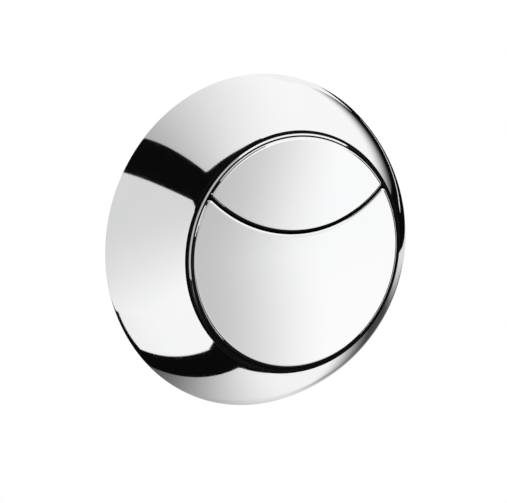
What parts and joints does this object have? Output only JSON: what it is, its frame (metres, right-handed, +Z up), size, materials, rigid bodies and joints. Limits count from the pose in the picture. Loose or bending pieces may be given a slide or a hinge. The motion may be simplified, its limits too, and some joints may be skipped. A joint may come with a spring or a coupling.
{
  "type": "direct flush valve",
  "caption": "Wall-mounted mains-fed toilet flush valve: domed chrome plate with a split dual-flush push button, and behind it the brass piston valve with inlet, stopcock and flush pipe outlet.",
  "frame": {"origin": "middle of the finished wall plane behind the plate", "axes": "+Z up, +Y into the wall, the buttons face -Y, the inlet points to +X"},
  "size_m": [0.1946, 0.1338, 0.1946],
  "materials": {
    "chrome": "mirror polished plating",
    "brass": "cast and machined",
    "zinc_steel": "zinc plated",
    "stainless": "bright drawn",
    "black_plastic": "moulded",
    "pale_plastic": "moulded",
    "black_rubber": "moulded"
  },
  "bodies": {
    "base": {"wall_plate": "chrome", "plate_seal": "black_rubber", "mounting_plate": "zinc_steel", "bezel_ring": "chrome", "carrier": "black_plastic", "carrier_pillars": "brass", "carrier_screws": "stainless", "small_hinge_pin": "stainless", "large_hinge_pin": "stainless", "small_return_spring": "stainless", "large_return_spring": "stainless", "valve_body": "brass", "body_screws": "stainless", "bonnet": "brass", "bonnet_seal": "black_rubber", "piston_spring": "stainless", "seat_ring": "stainless", "stopcock_gland": "brass", "stopcock_seal": "black_rubber", "inlet_strainer": "stainless", "outlet_washer": "black_rubber", "outlet_nut": "chrome", "breaker_body": "chrome", "breaker_sleeve": "black_rubber"},
    "half_flush": {"small_button": "chrome"},
    "full_flush": {"large_button": "chrome"},
    "half_plunger": {"small_push_cap": "pale_plastic", "small_push_rod": "stainless", "small_pilot_stem": "stainless", "small_pilot_seal": "black_rubber"},
    "full_plunger": {"large_push_cap": "pale_plastic", "large_push_rod": "stainless", "large_pilot_stem": "stainless", "large_pilot_seal": "black_rubber"},
    "main_piston": {"piston": "pale_plastic", "piston_seal": "black_rubber", "piston_washer": "black_rubber", "piston_screw": "stainless"},
    "stopcock": {"stopcock_plug": "brass"}
  },
  "joints": [
    {"name": "half_flush_press", "type": "hinge", "parent": "base", "child": "half_flush", "pos_m": [0, -0.043, 0.055], "axis": [1, 0, 0], "range_deg": [0, 4.5], "stiffness_Nm_per_rad": 1.5, "springref_deg": -6.88},
    {"name": "full_flush_press", "type": "hinge", "parent": "base", "child": "full_flush", "pos_m": [0, -0.043, -0.055], "axis": [-1, 0, 0], "range_deg": [0, 4.5], "stiffness_Nm_per_rad": 1.5, "springref_deg": -6.88},
    {"name": "half_plunger_slide", "type": "slide", "parent": "base", "child": "half_plunger", "axis": [0, 1, 0], "range_m": [0, 0.003], "deforming": ["small_return_spring"]},
    {"name": "full_plunger_slide", "type": "slide", "parent": "base", "child": "full_plunger", "axis": [0, 1, 0], "range_m": [0, 0.003], "deforming": ["large_return_spring"]},
    {"name": "piston_lift", "type": "slide", "parent": "base", "child": "main_piston", "axis": [0, -1, 0], "range_m": [0, 0.008], "stiffness_N_per_m": 600, "springref_m": -0.01, "deforming": ["piston_spring"]},
    {"name": "stopcock_turn", "type": "hinge", "parent": "base", "child": "stopcock", "pos_m": [0.056, 0.037, 0], "axis": [0, 1, 0], "range_deg": [0, 90]}
  ],
  "couplings": [
    {"joint": "half_plunger_slide", "follows": "half_flush_press", "m_per_rad": 0.038},
    {"joint": "full_plunger_slide", "follows": "full_flush_press", "m_per_rad": 0.038}
  ]
}
